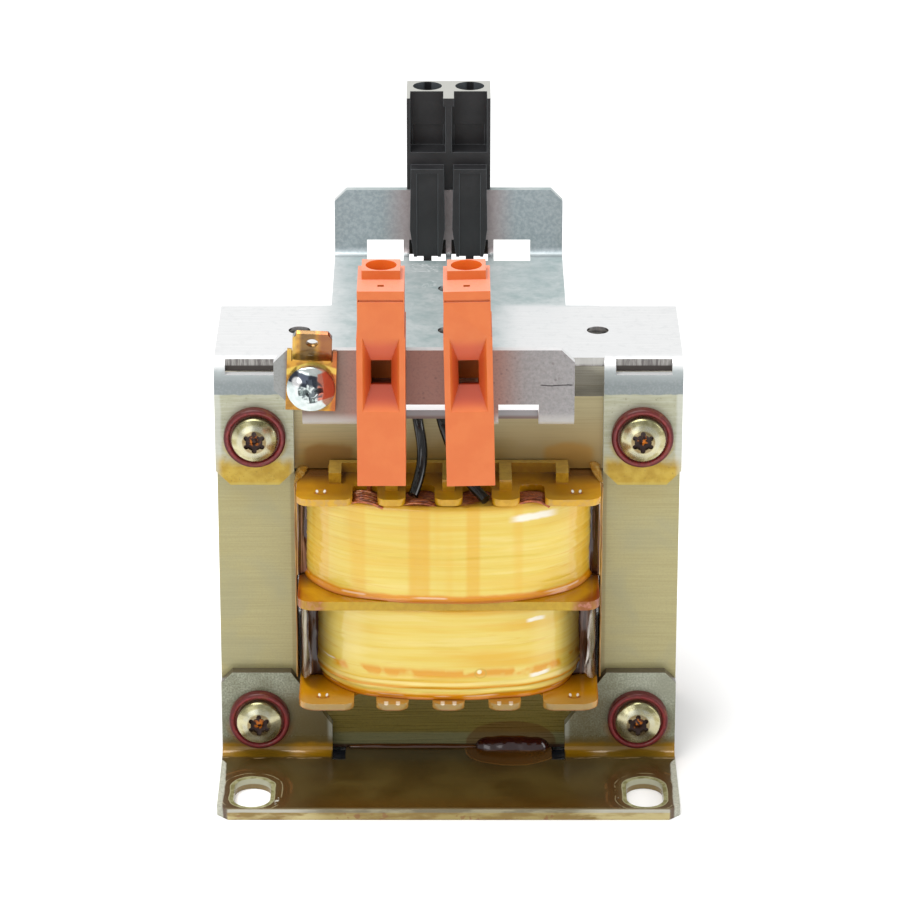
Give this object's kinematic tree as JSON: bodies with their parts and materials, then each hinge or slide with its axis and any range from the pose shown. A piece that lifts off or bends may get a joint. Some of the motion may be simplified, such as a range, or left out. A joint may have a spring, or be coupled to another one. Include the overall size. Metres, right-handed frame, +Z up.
{
  "type": "control transformer",
  "caption": "Open control transformer on a laminated core with a folded foot at each side, clip-on screw terminals on a folded top bracket and an earth tab.",
  "frame": {"origin": "middle of the four foot slots, on the plane that the feet stand on", "axes": "+Z up from the mounting plane, -Y towards the side with the orange terminals, X along the core's width"},
  "size_m": [0.0784, 0.1052, 0.103],
  "materials": {
    "lamination_steel": "satin",
    "bracket_steel": "satin",
    "foot_steel": "gloss",
    "bolt_steel": "satin",
    "nut_steel": "satin",
    "washer_fibre": "satin",
    "sleeve_plastic": "satin",
    "bobbin_plastic": "gloss",
    "winding_copper": "gloss",
    "tape": "gloss",
    "film": "gloss",
    "orange_plastic": "satin",
    "black_plastic": "satin",
    "clamp_steel": "satin",
    "contact_brass": "satin",
    "earth_brass": "gloss",
    "bright_zinc": "polished",
    "black_sleeving": "gloss"
  },
  "bodies": {
    "root": {"black_clamp_cage_left": "clamp_steel", "black_clamp_cage_right": "clamp_steel", "black_clamp_screw_left": "clamp_steel", "black_clamp_screw_right": "clamp_steel", "black_contact_strip_left": "contact_brass", "black_contact_strip_right": "contact_brass", "black_lead_left": "black_sleeving", "black_lead_right": "black_sleeving", "black_terminal_housing": "black_plastic", "bobbin": "bobbin_plastic", "copper_lead_left": "winding_copper", "copper_lead_right": "winding_copper", "core_bolt_nuts": "nut_steel", "core_bolts": "bolt_steel", "e_laminations": "lamination_steel", "earth_lock_washer": "bright_zinc", "earth_nut": "nut_steel", "earth_screw": "bright_zinc", "earth_tab": "earth_brass", "front_foot_bracket": "foot_steel", "front_insulating_washers": "washer_fibre", "i_laminations": "lamination_steel", "insulating_sleeves": "sleeve_plastic", "leg_insulation_films": "film", "lower_tape_wrap": "tape", "lower_winding": "winding_copper", "orange_clamp_cage_left": "clamp_steel", "orange_clamp_cage_right": "clamp_steel", "orange_clamp_screw_left": "clamp_steel", "orange_clamp_screw_right": "clamp_steel", "orange_contact_strip_left": "contact_brass", "orange_contact_strip_right": "contact_brass", "orange_terminal_housing_left": "orange_plastic", "orange_terminal_housing_right": "orange_plastic", "rear_foot_bracket": "foot_steel", "rear_insulating_washers": "washer_fibre", "top_bracket": "bracket_steel", "upper_tape_wrap": "tape", "upper_winding": "winding_copper", "winding_side_films": "film"}
  },
  "joints": []
}
